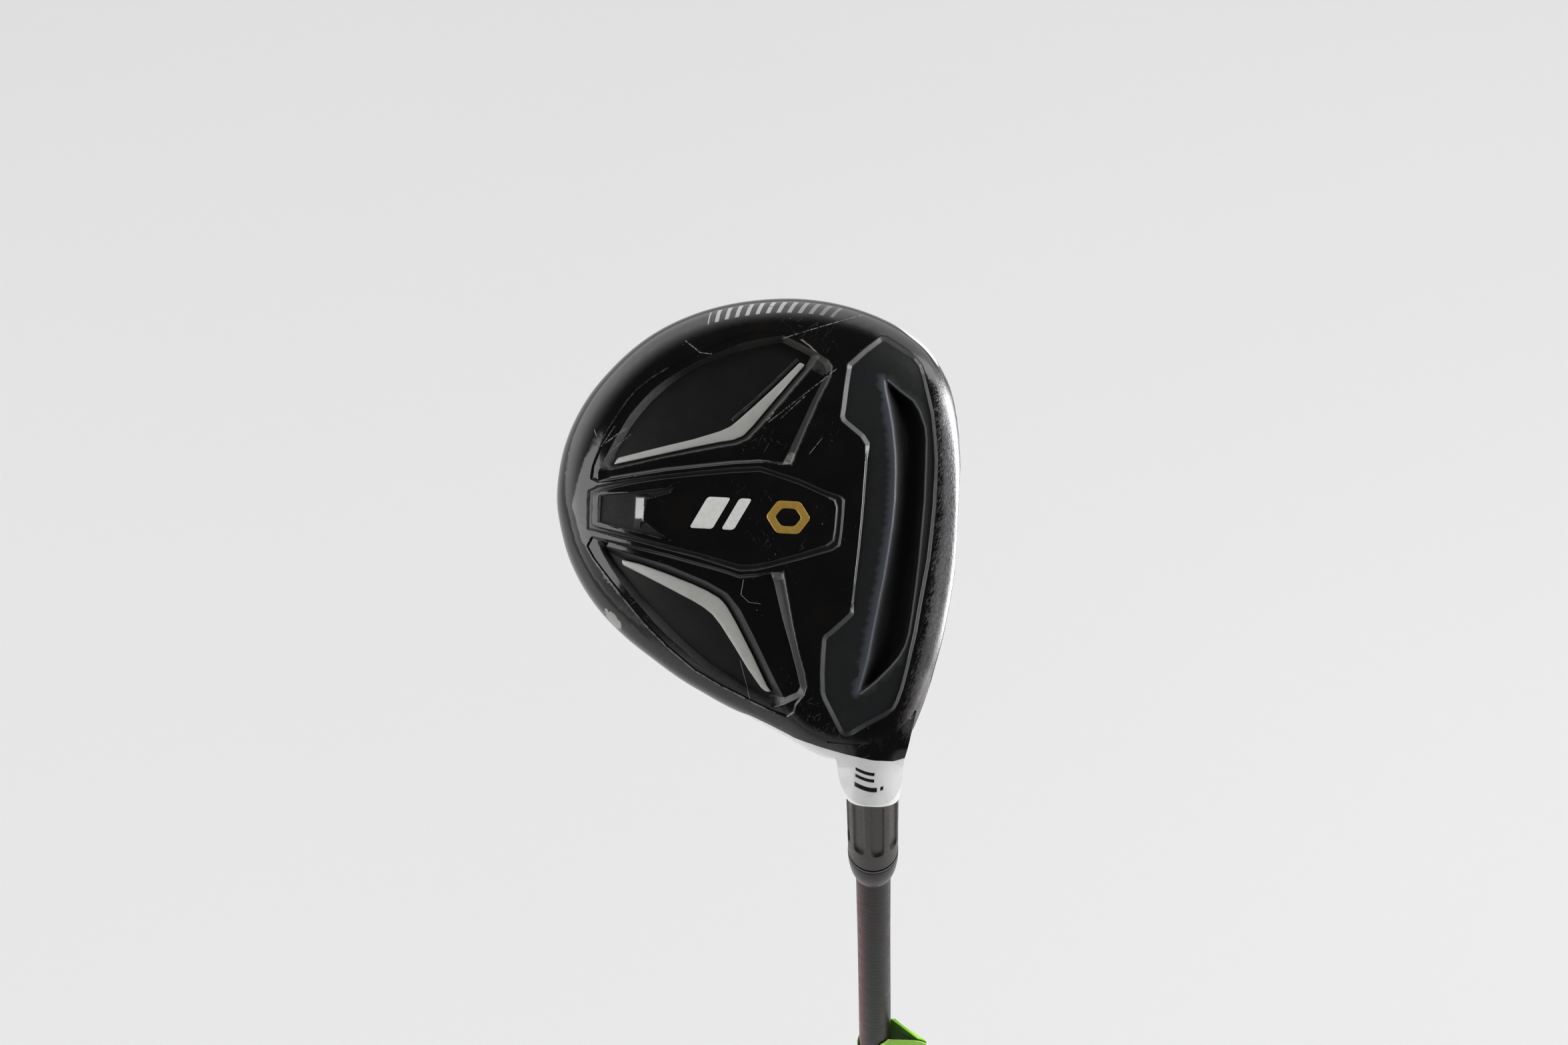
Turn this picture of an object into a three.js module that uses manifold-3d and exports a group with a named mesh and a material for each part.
// Fairway wood (15 degree, right-handed), modelled as the parts it is assembled from.
// Units are millimetres. The club stands on its butt: the origin is the centre of the
// grip's butt end on the shaft axis, +Z runs along the shaft from the grip to the head,
// +X is the direction the face looks in, and the sole looks towards -Y and upwards.
import * as THREE from 'three';
import { ParametricGeometry } from 'three/addons/geometries/ParametricGeometry.js';
import { mergeVertices } from 'three/addons/utils/BufferGeometryUtils.js';
import Module from 'manifold-3d';

// ---------------------------------------------------------------- dimensions
const CLUB_LENGTH = 1098.55;      // 43.25 in, butt end to shaft axis / ground point
const LIE = 58.5;                 // degrees between shaft axis and ground
const LOFT = 15;                  // degrees
const GAP = 0.3;                  // bond line or clearance between bonded pieces

const HOSEL_TOP = 52;             // along the shaft from the ground point to the hosel end
const HOSEL_R = 6.2;
const BORE_R = 4.65;
const BORE_BOTTOM = 12;
const SHAFT_TIP_R = 4.3;
const SHAFT_TIP_AT = 16;          // along the shaft from the ground point
const SHAFT_BUTT_R = 7.6;
const SHAFT_BUTT_Z = 3.6;
const SHAFT_WALL_TIP = 1.9;
const SHAFT_WALL_BUTT = 1.15;
const TIP_PARALLEL = 110;
const FERRULE_LENGTH = 14;
const FLUTES = 8;
const FLUTE_END = 43.6;
const FLUTE_WIDTH = 2.9;
const FLUTE_DEPTH = 0.6;

const SOLE_WALL = 1.7;
const SIDE_WALL = 1.6;
const CROWN_WALL = 2.8;           // body wall under the ledge that carries the crown shell
const CROWN_SHELL = 1.1;          // crown shell thickness
const FACE_WALL = 2.6;

const POCKET_DEPTH = 2.4;         // toe and heel sole pockets
const INSERT_DEPTH = 0.9;         // shallow panel behind the leading edge
const CHANNEL_DEPTH = 4.6;        // crescent slot in that panel
const BADGE_THICKNESS = 0.9;
const INLAY_THICKNESS = 0.35;

const GRIP_LENGTH = 268;
const GRIP_BUTT_R = 13.4;
const GRIP_MOUTH_R = 8.9;
const TAG_AT = 187;               // along the shaft from the ground point

const rad = THREE.MathUtils.degToRad;
const sinL = Math.sin(rad(LIE)), cosL = Math.cos(rad(LIE));
const tanLoft = Math.tan(rad(LOFT));

const wasm = await Module();
wasm.setup();

// ---------------------------------------------------------------- solids
function solid(geometry) {
  let g = geometry.clone();
  for (const name of Object.keys(g.attributes)) if (name !== 'position') g.deleteAttribute(name);
  g = mergeVertices(g, 1e-4);
  const p = g.attributes.position.array, idx = g.index.array, tri = [];
  for (let i = 0; i < idx.length; i += 3) {
    const a = idx[i], b = idx[i + 1], c = idx[i + 2];
    if (a !== b && b !== c && a !== c) tri.push(a, b, c);
  }
  let volume = 0;
  for (let i = 0; i < tri.length; i += 3) {
    const [a, b, c] = [tri[i] * 3, tri[i + 1] * 3, tri[i + 2] * 3];
    volume += p[a] * (p[b + 1] * p[c + 2] - p[b + 2] * p[c + 1])
      - p[a + 1] * (p[b] * p[c + 2] - p[b + 2] * p[c])
      + p[a + 2] * (p[b] * p[c + 1] - p[b + 1] * p[c]);
  }
  if (volume < 0) for (let i = 0; i < tri.length; i += 3) [tri[i + 1], tri[i + 2]] = [tri[i + 2], tri[i + 1]];
  return new wasm.Manifold(new wasm.Mesh({
    numProp: 3, vertProperties: new Float32Array(p), triVerts: new Uint32Array(tri) }));
}

// closed surface without the slivers that cuts leave: vertices closer than the tolerance are joined
function tidy(m) {
  for (const tolerance of [0.03, 0.02, 0.012, 0.006, 0.003, 0.0015]) {
    try {
      const g = mergeVertices(geometryOf(m).deleteAttribute('normal'), tolerance);
      const t = solid(g);
      if (t.decompose().length === 1 && Math.abs(t.volume() / m.volume() - 1) < 0.002) return t;
    } catch (e) { /* too coarse here: try a finer one */ }
  }
  return m;
}

function geometryOf(m) {
  const mesh = m.getMesh(), n = mesh.numProp, v = mesh.vertProperties;
  const pos = new Float32Array(v.length / n * 3);
  for (let i = 0; i < v.length / n; i++) for (let k = 0; k < 3; k++) pos[i * 3 + k] = v[i * n + k];
  const g = new THREE.BufferGeometry();
  g.setAttribute('position', new THREE.BufferAttribute(pos, 3));
  g.setIndex(new THREE.BufferAttribute(new Uint32Array(mesh.triVerts), 1));
  g.computeVertexNormals();
  return g;
}

// ---------------------------------------------------------------- head shape
// Head coordinates: x towards the target, y towards the toe, z out of the sole
// (so the head lies at negative z), origin where the shaft axis meets the ground.
const CX = -28, CY = 51;
const PLAN = [[0, 58], [15, 58], [30, 56.5], [41.5, 54.2], [51.9, 54.3], [59.6, 53.8], [70.2, 52.8],
  [83.9, 51.5], [92.4, 50.8], [101.2, 50.4], [112.1, 50.2], [124, 50.1], [137.8, 49.8], [149, 49.8],
  [161.3, 49.5], [170.7, 48.9], [178.2, 48.3], [185.7, 47.2], [192.7, 46.3], [201.5, 45.0], [210.9, 43.6],
  [222.4, 42.0], [235.5, 41.0], [251.2, 41.8], [259.1, 43.0], [268.7, 44.4], [274.6, 46.2], [279.9, 48.4],
  [284.5, 51.3], [290.4, 54.6], [295.6, 58.2], [300.5, 61.4], [304.8, 62.6], [312, 61.5], [322, 60], [340, 58.5]];

function planRadius(deg) {
  deg = ((deg % 360) + 360) % 360;
  const n = PLAN.length;
  let i = 0;
  while (i < n - 1 && PLAN[i + 1][0] <= deg) i++;
  const at = k => { const j = ((k % n) + n) % n; return [PLAN[j][0] + 360 * Math.floor(k / n), PLAN[j][1]]; };
  const [x0, y0] = at(i - 1), [x1, y1] = at(i), [x2, y2] = at(i + 1), [x3, y3] = at(i + 2);
  const t = (deg - x1) / (x2 - x1), h = x2 - x1;
  const m1 = (y2 - y0) / (x2 - x0) * h, m2 = (y3 - y1) / (x3 - x1) * h;
  return (2 * t ** 3 - 3 * t ** 2 + 1) * y1 + (t ** 3 - 2 * t ** 2 + t) * m1
    + (-2 * t ** 3 + 3 * t ** 2) * y2 + (t ** 3 - t ** 2) * m2;
}
const girthHeight = t => 14.6 - 1.4 * Math.cos(t) - 0.6 * Math.sin(t);     // height of the widest line
const front = t => Math.max(0, Math.cos(t)) ** 2;

// point on the shell: w 0..0.5 sole pole to girth, 0.5..1 girth to crown pole; d is how far inside
function shellPoint(theta, w, d = { side: 0, sole: 0, crown: 0 }) {
  const R = planRadius(THREE.MathUtils.radToDeg(theta)) - d.side;
  const hg = girthHeight(theta);
  let rho, h;
  if (w <= 0.5) {
    const q = w / 0.5 * Math.PI / 2, n = 3.0;
    rho = Math.sin(q) ** (2 / n);
    h = d.sole + (hg - d.sole) * (1 - Math.cos(q) ** (2 / n));
  } else {
    const q = (w - 0.5) / 0.5 * Math.PI / 2, m = 1.8 + 0.4 * front(theta);
    rho = Math.max(0, Math.cos(q)) ** (2 / m);
    const top = 37.5 - d.crown + 0.05 * R * rho * Math.cos(theta);
    h = hg + (top - hg) * Math.sin(q) ** (2 / m);
  }
  return [CX + R * rho * Math.cos(theta), CY + R * rho * Math.sin(theta), -h];
}
function shellSolid(d, around, rings) {
  return solid(new ParametricGeometry((u, v, target) => {
    const w = u === 0 || u === 1 ? u : u;
    target.set(...shellPoint(v === 1 ? 0 : v * Math.PI * 2, w, d));
    if (u === 0) target.set(CX, CY, -(d ? d.sole : 0));
    if (u === 1) target.set(CX, CY, -(37.5 - (d ? d.crown : 0)));
  }, rings, around));
}

// the lofted face with bulge and roll; off moves it backwards
const faceX = (y, h, off = 0) => 16.3 - (y - 55) ** 2 / 374 - (h - 2.5) * tanLoft - (h - 17) ** 2 / 560 + 0.38 - off;
function faceSlab(off) {                       // everything in front of the face surface
  const g = new THREE.BoxGeometry(80, 150, 90, 1, 24, 12);
  g.translate(60, 50, -20);
  const p = g.attributes.position;
  for (let i = 0; i < p.count; i++) if (p.getX(i) < 60) p.setX(i, faceX(p.getY(i), -p.getZ(i), off));
  return solid(g);
}
function prism(points, z0, z1) {               // plan outline pushed through a height range
  const g = new THREE.ExtrudeGeometry(new THREE.Shape(points.map(([x, y]) => new THREE.Vector2(x, y))),
    { depth: z1 - z0, bevelEnabled: false });
  g.translate(0, 0, z0);
  return solid(g);
}
function grow(points, by) {                    // outline moved outwards by a distance
  const n = points.length;
  let area = 0;
  for (let i = 0; i < n; i++) { const [a, b] = [points[i], points[(i + 1) % n]]; area += a[0] * b[1] - b[0] * a[1]; }
  const s = area > 0 ? 1 : -1, out = [];
  for (let i = 0; i < n; i++) {
    const p0 = points[(i + n - 1) % n], p1 = points[i], p2 = points[(i + 1) % n];
    const e1 = new THREE.Vector2(p1[0] - p0[0], p1[1] - p0[1]).normalize();
    const e2 = new THREE.Vector2(p2[0] - p1[0], p2[1] - p1[1]).normalize();
    const m = new THREE.Vector2(e1.y + e2.y, -e1.x - e2.x).normalize();
    const k = by * s / Math.max(0.5, m.x * e1.y - m.y * e1.x);
    out.push([p1[0] + m.x * k, p1[1] + m.y * k]);
  }
  return out;
}

// ---------------------------------------------------------------- shaft-axis frame
// Pieces on the shaft axis are made about Z with t measured from the ground point
// towards the grip at -z; toHead turns such a solid into head coordinates.
const toHeadMatrix = new THREE.Matrix4().makeRotationX(-rad(90 - LIE));
function toHead(g) { return g.clone().applyMatrix4(toHeadMatrix); }
function lathe(profile, segments) {            // profile: [radius, t] pairs, closed or ending on the axis
  const g = new THREE.LatheGeometry(profile.map(([r, t]) => new THREE.Vector2(r, -t)), segments);
  g.rotateX(Math.PI / 2);
  return g;
}

// hosel tube and its flared neck; phi 0 is the sole side, 90 the face side, 180 the toe side, 270 the rear
function neckRadius(phi, t) {
  const s = Math.sin(phi), c = Math.cos(phi);
  const rear = Math.max(0, -s) ** 1.5, face = Math.max(0, s) ** 1.5, toe = Math.max(0, -c) ** 1.5;
  const k = Math.max(0, (21 - t) / 24), kf = Math.max(0, (21 - t) / 20), kt = Math.max(0, (29 - t) / 24);
  return HOSEL_R + 0.02 + rear * 10 * k ** 1.96 + face * 2 * kf ** 1.3 + toe * 9 * kt ** 2.2;
}
const neck = toHead(new ParametricGeometry((u, v, target) => {
  const T0 = -2, T1 = HOSEL_TOP - 12;
  const phi = v === 1 ? 0 : v * Math.PI * 2;
  const t = u < 0.08 ? T0 : u > 0.92 ? T1 : T0 + (T1 - T0) * ((u - 0.08) / 0.84);
  const r = u === 0 || u === 1 ? 0 : neckRadius(phi, t);
  target.set(r * Math.sin(phi), -r * Math.cos(phi), -t);
}, 12, 32));
const heelCut = (() => {                       // underside of the heel below the neck
  const g = new THREE.BoxGeometry(160, 160, 60);
  g.translate(0, 0, 30);
  g.rotateX(Math.atan(0.12));
  g.translate(0, 0, -6.6);
  return solid(g);
})();

const outline = (k, a0, a1, n) => Array.from({ length: n + 1 }, (_, i) => {
  const a = a0 + (a1 - a0) * i / n, R = planRadius(a) * k;
  return [CX + R * Math.cos(rad(a)), CY + R * Math.sin(rad(a))];
});
// crown opening: follows the rim behind a line from the toe to the heel
const CROWN_FROM = 57, CROWN_TO = 268;
const crownOutline = k => {
  const rim = outline(k, CROWN_FROM, CROWN_TO, 34);
  const [hx, hy] = rim[rim.length - 1], [tx, ty] = rim[0], mid = [];
  for (let i = 1; i < 8; i++) {
    const f = i / 8, bow = 4 * f * (1 - f) * 2.5;
    mid.push([hx + (tx - hx) * f + bow, hy + (ty - hy) * f]);
  }
  return [...rim, ...mid];
};

// sole features in plan
const TOE_POCKET = [[-63.6, 60.2], [-61.7, 65.5], [-58.5, 71.6], [-54.5, 76.9], [-49.5, 81.7], [-43.5, 85.9],
  [-36, 89.5], [-25.2, 92.2], [-14.2, 86.6], [-14.2, 84.8], [-17, 78.6], [-22.4, 65], [-28.6, 63.8], [-42, 62.1], [-56.5, 59.6]];
const HEEL_POCKET = [[-63.6, 43.2], [-56.2, 45.2], [-41, 42.2], [-31.8, 39.8], [-24.4, 41.2], [-22.2, 36.8], [-20.4, 29.5],
  [-18.5, 23.2], [-16.8, 17.5], [-16.2, 13.4], [-20.2, 10.6], [-25, 10.9], [-32, 13.9], [-38.2, 17.3], [-44.5, 22.2],
  [-50.9, 27.8], [-56.5, 33.8], [-60.6, 39]];
const INSERT = [[-2.6, 93.4], [-10, 86.6], [-11, 75.1], [-5.6, 69.4], [-5.3, 56], [-6.2, 38], [-7.2, 31.4], [-12.2, 26],
  [-12.6, 14], [-7.2, 4], [-5, 4.2], [3, 9.3], [6.6, 17], [8.9, 31], [10.8, 47], [11.2, 62], [10.2, 73.5], [8, 83], [5.6, 88.4]];
const CHANNEL = [[-1.6, 83.2], [0, 74.5], [1.5, 63], [1.2, 50], [0, 39.5], [-1.8, 27], [-3.8, 14.4], [0.2, 17],
  [4.8, 22.6], [6.9, 29], [8.1, 43], [8.6, 58], [8.3, 71], [6.3, 77.2], [2.4, 81.2]];
const TOE_CHEVRON = [[-61.4, 62], [-50, 65], [-37.8, 68.4], [-34.6, 69.2], [-32.4, 70.4], [-28, 75.8], [-20, 86.2],
  [-21.4, 86.9], [-29.5, 78], [-34.4, 73], [-38.3, 70.8], [-50.2, 66.9], [-60.6, 63.5]];
const HEEL_CHEVRON = [[-59, 40.4], [-48.5, 37.8], [-39.3, 34.5], [-36.1, 32.8], [-34.4, 31.2], [-32, 27.4], [-24, 13.2],
  [-25.2, 12.8], [-32.5, 22.8], [-36, 27.6], [-37.9, 29.6], [-42.2, 32.3], [-54.5, 37.8], [-58.6, 39.4]];
const BORDER_OUT = [[-67.2, 55.7], [-65, 57.1], [-41.9, 61.4], [-34.5, 62.5], [-28.5, 63.1], [-13.3, 58.5], [-9.8, 57.9], [-9.1, 56.5],
  [-9.4, 47], [-11, 45.3], [-27.6, 39.9], [-31.7, 39.4], [-40.9, 41.8], [-65.2, 45.8], [-67.2, 47]];
const REAR_RECESS = [[-64.6, 54.8], [-55.3, 55.9], [-49.3, 57.0], [-54.2, 54.3], [-54.8, 49.9], [-50, 46.6],
  [-54.8, 47.1], [-59.4, 47.9], [-64.7, 49.1]];
const BAR_A = [[-43.6, 48.6], [-38.4, 48.6], [-34.6, 55.8], [-39.8, 55.8]];
const BAR_B = [[-36.4, 48.6], [-33.6, 48.6], [-29.8, 55.8], [-32.6, 55.8]];
const HEX = (r, k) => Array.from({ length: 6 }, (_, i) => [-21.5 + r * Math.cos(rad(60 * i)) * k, 52.1 + r * Math.sin(rad(60 * i))]);

// everything in a plan outline between the sole surface and a depth below it
const soleOffset = depth => shellSolid({ side: depth, sole: depth, crown: depth }, 40, 14);
const soleCut = (points, depth) => prism(points, -14, 8).subtract(soleOffset(depth));

// ---------------------------------------------------------------- head pieces
const outer = shellSolid({ side: 0, sole: 0, crown: 0 }, 72, 18).subtract(faceSlab(0));
let cavity = shellSolid({ side: SIDE_WALL, sole: SOLE_WALL, crown: CROWN_WALL }, 36, 12).subtract(faceSlab(FACE_WALL));
const boreTube = solid(toHead(lathe([[0, -8], [HOSEL_R, -8], [HOSEL_R, HOSEL_TOP - 1], [0, HOSEL_TOP - 1]], 32)));
cavity = cavity.subtract(boreTube)
  .subtract(soleCut(grow(TOE_POCKET, 1.4), POCKET_DEPTH + 1.5))
  .subtract(soleCut(grow(HEEL_POCKET, 1.4), POCKET_DEPTH + 1.5))
  .subtract(soleCut(grow(CHANNEL, 1.4), CHANNEL_DEPTH + 1.3));

const hoselTube = solid(toHead(lathe([[0, 12.4], [HOSEL_R, 12.4], [HOSEL_R, HOSEL_TOP - 0.4], [HOSEL_R - 0.4, HOSEL_TOP], [0, HOSEL_TOP]], 40)));
const neckSolid = solid(neck).subtract(heelCut);

const FACE_OUTLINE = [[16, 5.5], [22, 4.6], [52, 4.2], [78, 5.2], [84, 9], [85, 15], [81, 23], [72, 28.5], [50, 30.5], [32, 28], [20, 23], [14, 14], [14, 8]];
function facePrism(by) {                       // outline drawn on the face, pushed through it
  const pts = grow(FACE_OUTLINE, by);
  const g = new THREE.ExtrudeGeometry(new THREE.Shape(pts.map(([y, h]) => new THREE.Vector2(y, h))), { depth: 60, bevelEnabled: false });
  // extrude runs along z: turn (y, h, depth) into (x, y, -h)
  g.applyMatrix4(new THREE.Matrix4().set(0, 0, 1, -20, 1, 0, 0, 0, 0, -1, 0, 0, 0, 0, 0, 1));
  return solid(g);
}
const facePlate = outer.intersect(facePrism(0)).intersect(faceSlab(FACE_WALL - 0.35));

const crownPrism = prism(crownOutline(0.95), -60, -16.8);
const crownShell = outer.intersect(crownPrism).subtract(shellSolid({ side: CROWN_SHELL, sole: CROWN_SHELL, crown: CROWN_SHELL }, 48, 14));
const crownSeat = prism(grow(crownOutline(0.95), GAP), -60, -16.5)
  .subtract(shellSolid({ side: CROWN_SHELL + GAP, sole: CROWN_SHELL, crown: CROWN_SHELL + GAP }, 48, 14));
const crownOpening = prism(crownOutline(0.86), -60, -17);

const bore = solid(toHead(lathe([[0, BORE_BOTTOM], [BORE_R, BORE_BOTTOM], [BORE_R, HOSEL_TOP + 1], [0, HOSEL_TOP + 1]], 32)));
function flute(i) {
  const phi = rad(-30 + 360 / FLUTES * i);
  const start = 22 - 7.2 * Math.cos(phi), len = FLUTE_END - start;
  const g = new THREE.CylinderGeometry(FLUTE_WIDTH / 2, FLUTE_WIDTH / 2, 4, 12);   // rounded end
  g.rotateZ(Math.PI / 2); g.rotateX(Math.PI / 2);
  const box = new THREE.BoxGeometry(4, FLUTE_WIDTH, len);
  const place = (q, t) => {
    q.rotateZ(-Math.PI / 2);
    q.translate(0, -(HOSEL_R - FLUTE_DEPTH + 2), -t);
    q.rotateZ(phi);
    return solid(toHead(q));
  };
  return place(box, start + len / 2);
}

const borderGroove = soleCut(BORDER_OUT, 0.45).subtract(prism(grow(BORDER_OUT, -1.5), -16, 10));
let body = outer.add(neckSolid).add(hoselTube)
  .subtract(cavity)
  .subtract(facePrism(GAP).intersect(faceSlab(FACE_WALL + 2).subtract(solid(new THREE.BoxGeometry(200, 200, 4).translate(0, 50, 2)))))
  .subtract(crownSeat).subtract(crownOpening).subtract(bore)
  .subtract(soleCut(TOE_POCKET, POCKET_DEPTH))
  .subtract(soleCut(HEEL_POCKET, POCKET_DEPTH))
  .subtract(soleCut(INSERT, INSERT_DEPTH))
  .subtract(soleCut(CHANNEL, CHANNEL_DEPTH))
  .subtract(soleCut(REAR_RECESS, 1.2)).subtract(borderGroove)
  .subtract(soleCut(grow(BAR_A, GAP), 0.5)).subtract(soleCut(grow(BAR_B, GAP), 0.5));
const hexRing = (out, inn) => soleCut(out, 0.5).subtract(prism(inn, -16, 10));
body = body.subtract(hexRing(grow(HEX(4.2, 1.2), GAP), grow(HEX(2.3, 1.3), -GAP)));
for (let i = 0; i < FLUTES; i++) body = body.subtract(flute(i));

// badges lie on the pocket floors
const onFloor = (points, floor, thick) => prism(points, -14, 8)
  .subtract(soleOffset(floor - GAP))
  .intersect(soleOffset(floor - GAP - thick));
const toeBadge = onFloor(TOE_CHEVRON, POCKET_DEPTH, BADGE_THICKNESS);
const heelBadge = onFloor(HEEL_CHEVRON, POCKET_DEPTH, BADGE_THICKNESS);
// enamel inlays fill shallow outlines in the flat of the sole
const inlay = points => prism(points, -14, 8).subtract(soleOffset(0.42)).intersect(soleOffset(0.05));
const barA = inlay(BAR_A), barB = inlay(BAR_B);
const hexInlay = inlay(HEX(4.2, 1.2)).subtract(prism(HEX(2.3, 1.3), -16, 10));

// glue poured into the rear of the head to set the swing weight
const hotMelt = (() => {
  const g = new THREE.SphereGeometry(1, 16, 8);
  g.scale(9, 12, 3.2); g.translate(-52, 52, 0);
  const p = g.attributes.position;
  for (let i = 0; i < p.count; i++) {
    const x = p.getX(i), y = p.getY(i);
    p.setZ(i, p.getZ(i) - 8.6 + 0.02 * (x + 52));
  }
  return solid(g).subtract(soleOffset(3.2).isEmpty() ? solid(new THREE.BoxGeometry(1, 1, 1)) : shellGround());
})();
function shellGround() {                       // material of the sole wall plus clearance
  return prism([[-120, -60], [60, -60], [60, 140], [-120, 140]], -60, 20)
    .subtract(shellSolid({ side: SIDE_WALL + GAP, sole: SOLE_WALL + GAP, crown: 6 }, 44, 16));
}

// ---------------------------------------------------------------- pieces on the shaft axis
const Z0 = CLUB_LENGTH;
const ring = (profile, seg) => { const g = geometryOf(solid(lathe(profile, seg))); g.translate(0, 0, Z0); return g; };
const closeLoop = p => [...p, p[0]];

const boreplug = ring([[0, BORE_BOTTOM + 0.4], [BORE_R - 0.35, BORE_BOTTOM + 0.4], [BORE_R - 0.35, SHAFT_TIP_AT - 0.4], [0, SHAFT_TIP_AT - 0.4]], 24);
const ferruleProfile = [];
for (let i = 0; i <= 6; i++) {                 // convex bell from the hosel diameter to the shaft
  const f = i / 6;
  ferruleProfile.push([4.62 + (HOSEL_R - 0.05 - 4.62) * (1 - f ** 2.4) ** 0.9, HOSEL_TOP + GAP + (FERRULE_LENGTH - GAP) * f]);
}
const ferrule = ring(closeLoop([...ferruleProfile, [SHAFT_TIP_R + 0.3, HOSEL_TOP + FERRULE_LENGTH], [SHAFT_TIP_R + 0.3, HOSEL_TOP + GAP]]), 28);

const buttT = Z0 - SHAFT_BUTT_Z;
const shaftR = t => t < TIP_PARALLEL ? SHAFT_TIP_R + 0.1 * Math.min(1, Math.max(0, (t - 50) / 20)) * (t / TIP_PARALLEL)
  : SHAFT_TIP_R + 0.1 + (SHAFT_BUTT_R - SHAFT_TIP_R - 0.1) * Math.min(1, (t - TIP_PARALLEL) / (930 - TIP_PARALLEL));
const wallAt = t => SHAFT_WALL_TIP + (SHAFT_WALL_BUTT - SHAFT_WALL_TIP) * (t / buttT);
const stations = [SHAFT_TIP_AT, 50, 70, TIP_PARALLEL, 380, 650, 930, buttT];
const shaft = ring(closeLoop([...stations.map(t => [shaftR(t), t]), ...stations.slice().reverse().map(t => [shaftR(t) - wallAt(t), t])]), 24);

const tipWeight = ring([[0, SHAFT_TIP_AT + 1], [shaftR(20) - wallAt(20) - 0.3, SHAFT_TIP_AT + 1], [shaftR(20) - wallAt(20) - 0.3, SHAFT_TIP_AT + 22], [1.2, SHAFT_TIP_AT + 25], [0, SHAFT_TIP_AT + 25]], 20);

const gripTop = Z0 - GRIP_LENGTH;              // t at the grip's mouth
const tapeStations = [gripTop + 6, 930, buttT - 6];
const TAPE_IN = 0.3, TAPE_OUT = 0.55;
const tape = ring(closeLoop([...tapeStations.map(t => [shaftR(t) + TAPE_OUT, t]), ...tapeStations.slice().reverse().map(t => [shaftR(t) + TAPE_IN, t])]), 24);

const gripR = t => {                           // t from the mouth (0) to the butt (1)
  const f = (t - gripTop) / GRIP_LENGTH;
  return GRIP_MOUTH_R + (11.9 - GRIP_MOUTH_R) * f ** 0.85 + 1.5 * Math.max(0, (f - 0.955) / 0.045) ** 1.6;
};
const gripStations = [0, 3, 20, 60, 100, 140, 180, 215, 245, 256, 260, 263.5].map(d => gripTop + d);
const gripOuter = gripStations.map((t, i) => [i === 0 ? GRIP_MOUTH_R - 0.7 : gripR(t), t]);
const sleeveIn = t => shaftR(t) + TAPE_OUT + 0.3;
const grip = ring(closeLoop([...gripOuter, [sleeveIn(gripTop + 263.5), gripTop + 263.5], [sleeveIn(930), 930], [sleeveIn(gripTop), gripTop]]), 28);

const capT = gripTop + 263.5 + 0.3;
const cap = ring([[1.6, capT + 0.9], [1.6, Z0], [GRIP_BUTT_R - 1.6, Z0], [GRIP_BUTT_R - 0.5, Z0 - 0.5], [GRIP_BUTT_R, Z0 - 1.7],
  [GRIP_BUTT_R, capT], [1.9 + 6.7, capT], [1.9 + 6.7, capT + 0.9], [1.6, capT + 0.9]], 28);

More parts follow.
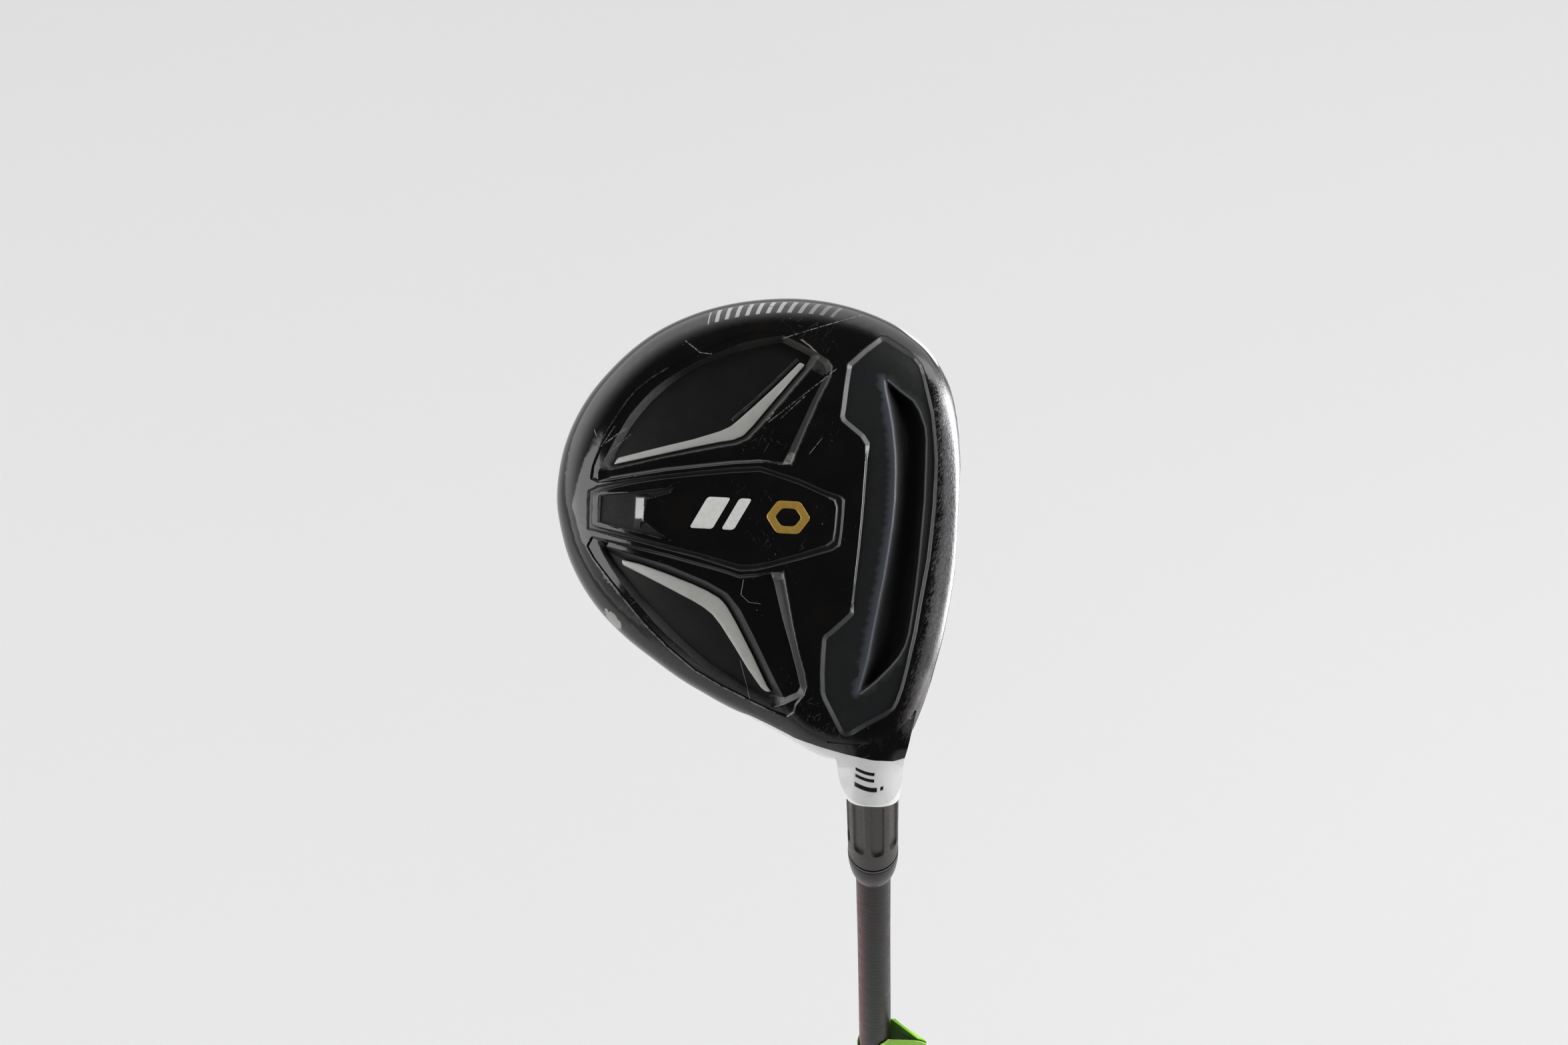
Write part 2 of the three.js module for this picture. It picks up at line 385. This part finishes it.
// folded price label held round the shaft, both leaves standing out on the face side
const tag = (() => {
  const s = new THREE.Shape(), r = shaftR(TAG_AT + 15) + 0.3, th = 0.4, L = 15.5;
  s.moveTo(0, -r - th);
  s.lineTo(L, -r * 0.55 - th);
  s.lineTo(L, -r * 0.55 + 0.1);
  s.lineTo(r * 0.9, -r * 0.62);
  for (let i = 1; i < 20; i++) { const a = rad(-38 - 284 * i / 20); s.lineTo(r * Math.cos(a), r * Math.sin(a)); }
  s.lineTo(r * 0.9, r * 0.62);
  s.lineTo(L, -r * 0.55 + 0.5);
  s.lineTo(L, -r * 0.55 + 0.5 + th);
  s.lineTo(r + 0.6, r * 0.62 + th);
  for (let i = 3; i < 18; i++) { const a = rad(20 + 250 * i / 18); s.lineTo((r + th) * Math.cos(a), (r + th) * Math.sin(a)); }
  const g = new THREE.ExtrudeGeometry(s, { depth: 30, bevelEnabled: false });
  g.translate(0, 0, Z0 - TAG_AT - 30);
  return geometryOf(solid(g));
})();

// ---------------------------------------------------------------- assembly
const club = new THREE.Group();
const head = new THREE.Group();
head.position.set(0, 0, Z0);
head.rotation.x = rad(90 - LIE);
club.add(head);

const mat = (color, roughness, metalness) => new THREE.MeshStandardMaterial({ color, roughness, metalness });
function put(parent, name, geometry, material) {
  const mesh = new THREE.Mesh(geometry, material);
  mesh.name = name;
  parent.add(mesh);
  return mesh;
}
put(head, 'head_body', geometryOf(tidy(body)), mat(0x0b0b0c, 0.18, 0.3));
put(head, 'face_plate', geometryOf(tidy(facePlate)), mat(0x8d8f92, 0.35, 0.9));
put(head, 'crown_shell', geometryOf(tidy(crownShell)), mat(0x0a0a0b, 0.12, 0.0));
put(head, 'toe_chevron_badge', geometryOf(tidy(toeBadge)), mat(0xc4c4bf, 0.35, 0.8));
put(head, 'heel_chevron_badge', geometryOf(tidy(heelBadge)), mat(0xc4c4bf, 0.35, 0.8));
put(head, 'sole_inlay_wide', geometryOf(tidy(barA)), mat(0xf2f2ef, 0.35, 0.0));
put(head, 'sole_inlay_narrow', geometryOf(tidy(barB)), mat(0xf2f2ef, 0.35, 0.0));
put(head, 'sole_inlay_gold', geometryOf(tidy(hexInlay)), mat(0xc9a648, 0.35, 0.3));
put(head, 'hot_melt_blob', geometryOf(tidy(hotMelt)), mat(0xcdbb7a, 0.5, 0.0));
put(club, 'bore_plug', boreplug, mat(0xd8d8d2, 0.6, 0.0));
put(club, 'ferrule', ferrule, mat(0x101011, 0.25, 0.0));
put(club, 'shaft', shaft, mat(0x2c2623, 0.35, 0.1));
put(club, 'tip_weight', tipWeight, mat(0xb08d3e, 0.4, 0.9));
put(club, 'grip_tape', tape, mat(0xd9cfae, 0.8, 0.0));
put(club, 'grip_sleeve', grip, mat(0x161616, 0.85, 0.0));
put(club, 'grip_cap', cap, mat(0x161616, 0.8, 0.0));
put(club, 'shaft_label', tag, mat(0x93c83a, 0.5, 0.0));

export default club;
